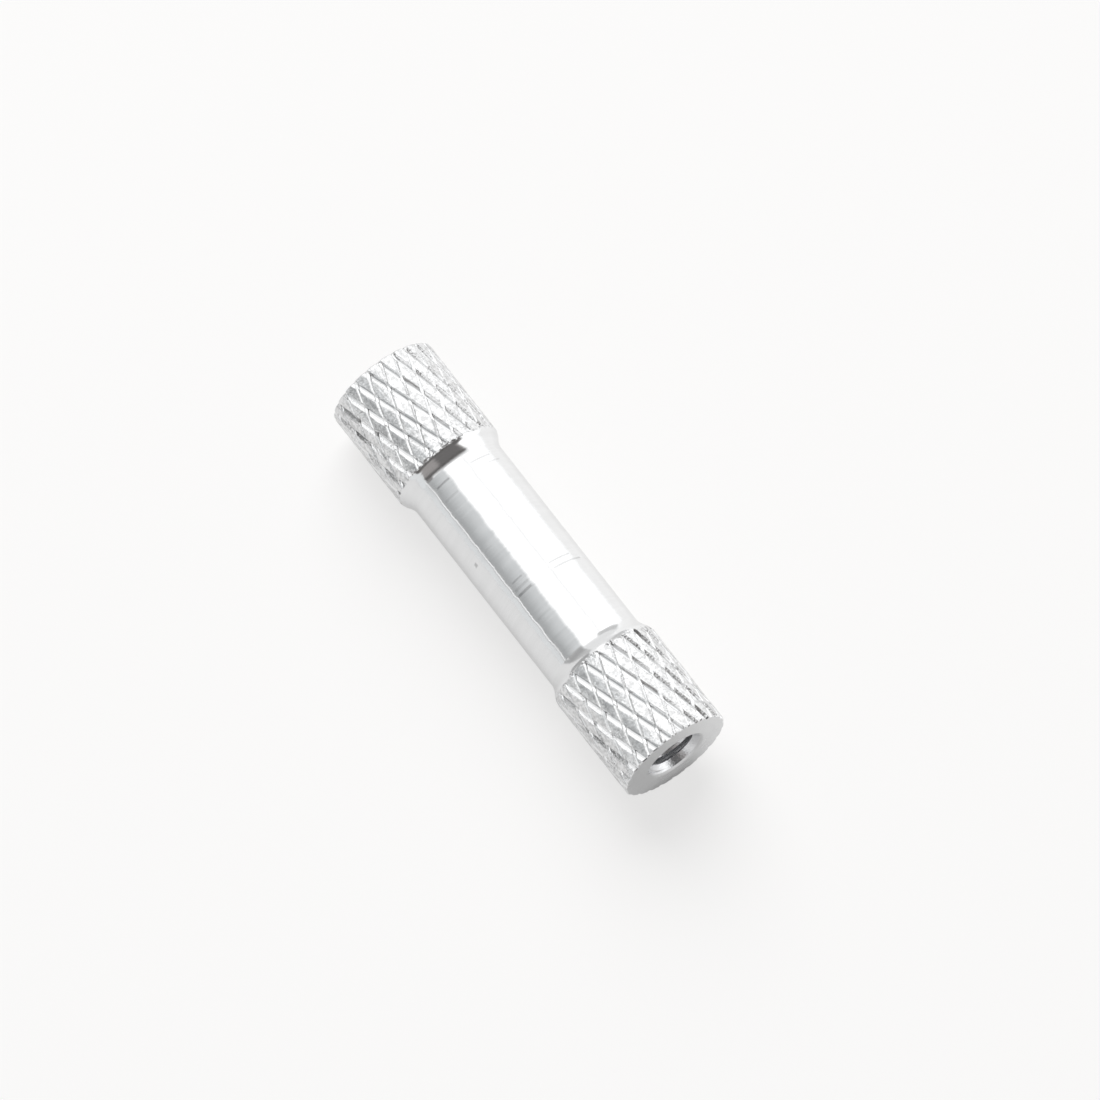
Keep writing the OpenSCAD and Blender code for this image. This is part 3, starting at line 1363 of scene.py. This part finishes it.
@dataclass
class Studio:
    """A pale table, soft light from above it, and the room that the metal reflects."""

    view: View
    bar: Bar
    room: tuple[float, float, float] = (0.785, 0.80, 0.805)
    dim_level: float = 0.25
    far_level: float = 0.95
    lamp_toward: tuple[float, float, float] = (-0.30, -0.70, -0.65)
    lamp_distance: float = 0.9
    lamp_size: float = 1.0
    lamp_power: float = 11.0
    table_size: float = 1.2
    table_tone: tuple[float, float, float] = (0.945, 0.94, 0.935)
    table_glow: float = 0.965
    glow_share: float = 0.72
    # painted shade on the table as the metal sees it: where it ends across the table, and its levels
    reflected_shade_across: tuple[float, float] = (-12 * MM, -3.2 * MM)
    reflected_shade_levels: tuple[float, float] = (1.015, 0.865)
    # more painted shade on the table's far side from the lamp: where it starts and ends, and how deep it
    # gets
    far_side: tuple[float, float] = (-1 * MM, 2 * MM)
    far_side_drop: float = 0.025
    shade_beside: tuple[float, float] = (0.4 * MM, 2.4 * MM)
    shade_beyond: tuple[float, float] = (-0.3 * MM, 0.5 * MM)
    shade_lift: float = 0.5
    zones: tuple[StudioZone, ...] = (
        StudioZone(-57, 30, -95, 8, 0.44, (1.5, 4, 4, 4), COOL),
        StudioZone(-36, 30, -95, 8, 0.70, (44, 4, 4, 4), COOL),
        StudioZone(-10.4, 103, -95, 58, 1.30, (10, 24, 4, 4)),
        StudioZone(-12, 104, -95, -52, 0.84, (6, 10, 4, 10)),
        StudioZone(-110, -14, -95, -38, 0.40, (4, 8, 3, 2)),
        StudioZone(-110, -14, -95, -66, 0.54, (4, 8, 3, 16)),
        StudioZone(-48, 20, -38, -27, 1.20, (6, 4, 2, 2)),
        StudioZone(36, 100, -52, -38, 0.58, (8, 8, 6, 2)),
        StudioZone(35, 40, -40, 0, 1.05),
        StudioZone(-58, 52, 0, 90, 0.30, (3, 8, 3, 4), (1.0, 0.97, 0.96)),
        StudioZone(-40, 60, -1, 10.5, 1.00, (6, 8, 2, 1.5)),
        StudioZone(-58, 52, 17, 90, 0.34, (3, 8, 5, 4), WARM),
        StudioZone(-14, 48, 17, 60, 0.16, (14, 10, 5, 10), (1.0, 0.96, 0.95)),
        StudioZone(-58, 56, 11.5, 23, 0.12, (3, 14, 1.5, 5), WARM),
        StudioZone(-24, 50, 57, 84, 0.10, (10, 10, 4, 4)),
        StudioZone(58, 92, -10, 1, 0.55, (6, 8, 2, 2)),
        StudioZone(-100, -49, -35, -23, 0.14, (4, 4, 3, 3)),
        StudioZone(-64.5, -62.3, -45, 10, 0.50, (1, 1, 6, 6)),
        StudioZone(-62, -59.5, -45, 10, 1.20, (1, 1, 6, 6)),
        StudioZone(-59.5, -57, -45, 10, 0.33, (1, 1, 6, 6)),
    )

    def build(self) -> None:
        """Lays the table, lights it and adds the camera."""
        middle = Vector((0, 0, self.bar.length * MM / 2))
        self.view.add_camera(middle)
        self._lay_table(middle)
        self._hang_lamp(middle)
        self._paint_room()
        bpy.context.scene.view_settings.view_transform = "Standard"
        log.info("studio: a table, one lamp and %d zones", len(self.zones))

    def _lay_table(self, middle: Vector) -> None:
        """Adds the table top that the standoff lies on, seen only from above."""
        clear_selection()
        bpy.ops.mesh.primitive_plane_add(
            size=self.table_size,
            location=(0, self.bar.radius * MM, middle.z),
            rotation=(math.pi / 2, 0, 0),
        )
        table = bpy.context.active_object
        table.name = "table"
        paper = bpy.data.materials.new("white_paper")
        paper.use_nodes = True
        wiring = Wiring(paper.node_tree)
        geometry = wiring.node("NewGeometry")
        light = wiring.node("LightPath")
        across, _, along = wiring.split(geometry["Position"])
        # painted shade: the metal sees the table darker close by, and on the far side from the lamp
        reflected_shade = wiring.ramp(across, *self.reflected_shade_across, *self.reflected_shade_levels)
        reflected_shade = reflected_shade - wiring.ramp(across, *self.far_side, 0.0, self.far_side_drop)
        reflected_shade = wiring.mix(light["Is Glossy Ray"], 1.0, reflected_shade, colours=False)
        paint = wiring.scaled(self.table_tone, reflected_shade)
        strength = self.table_glow / self.table_tone[1]
        matt = wiring.node("BsdfDiffuse", {"Color": paint})[0]
        glow = wiring.node("Emission", {"Color": paint, "Strength": strength})[0]
        # and a table that glows where the standoff doesn't darken it
        beside = wiring.ramp(abs(across), *self.shade_beside, 0.0, self.shade_lift)
        past_end = abs(along - middle.z) - middle.z
        beyond = wiring.ramp(past_end, *self.shade_beyond, 0.0, self.shade_lift)
        share = light["Is Glossy Ray"] * wiring.math("MAXIMUM", beside, beyond)
        share = share + light["Is Camera Ray"] * self.glow_share
        lit = wiring.node("MixShader", {0: share, 1: matt, 2: glow})[0]
        gone = wiring.node("BsdfTransparent")[0]
        seen = wiring.node("MixShader", {0: geometry["Backfacing"], 1: lit, 2: gone})[0]
        wiring.node("OutputMaterial", {"Surface": seen})
        table.data.materials.append(paper)

    def _hang_lamp(self, middle: Vector) -> None:
        """Hangs one large soft lamp above the table, beyond the lower end."""
        lamp = bpy.data.lights.new("soft_lamp", "AREA")
        lamp.shape = "DISK"
        lamp.size = self.lamp_size
        lamp.energy = self.lamp_power
        holder = bpy.data.objects.new("soft_lamp", lamp)
        toward = Vector(self.lamp_toward).normalized()
        holder.location = middle + toward * self.lamp_distance
        holder.rotation_euler = toward.to_track_quat("Z", "Y").to_euler()
        holder.visible_glossy = False
        holder.visible_camera = False
        bpy.context.scene.collection.objects.link(holder)

    def _paint_room(self) -> None:
        """Gives the world a plain level for the table, and the studio's zones for reflections."""
        world = bpy.data.worlds.new("room")
        bpy.context.scene.world = world
        world.use_nodes = True
        wiring = Wiring(world.node_tree)
        turn = {"Vector": wiring.node("TexCoord")["Generated"], "Angle": -self.view.azimuth}
        turned = wiring.node("VectorRotate", turn, rotation_type="Z_AXIS")[0]
        x, y, z = wiring.split(turned)
        # directions count clockwise round the axis, seen from its upper end
        azimuth = wiring.math("DEGREES", wiring.math("ARCTAN2", y * -1.0, x))
        elevation = wiring.math("DEGREES", wiring.math("ARCSINE", z))
        colour: object = (*self.room, 1.0)
        for zone in self.zones:
            shade = (*(zone.level * part for part in zone.tint), 1.0)
            colour = wiring.mix(zone.share(wiring, azimuth, elevation), colour, shade)
        light = wiring.node("LightPath")
        dim, far = ((level, level, level, 1.0) for level in (self.dim_level, self.far_level))
        plain = wiring.mix(light["Is Camera Ray"], dim, far)
        shown = wiring.mix(light["Is Glossy Ray"], plain, colour)
        background = wiring.node("Background", {"Color": shown, "Strength": 1.0})
        wiring.node("OutputWorld", {"Surface": background[0]})


def main() -> None:
    """Builds the standoff and the studio."""
    bar = Bar.from_frame(BODY_NODE)
    log.info("bar: %.2f mm long, %.2f mm across", bar.length, 2 * bar.radius)
    Standoff(bar).build(FinishSet())
    Studio(View(), bar).build()


if __name__ == "__main__":
    logging.basicConfig(level=logging.INFO, format="%(message)s")
    main()
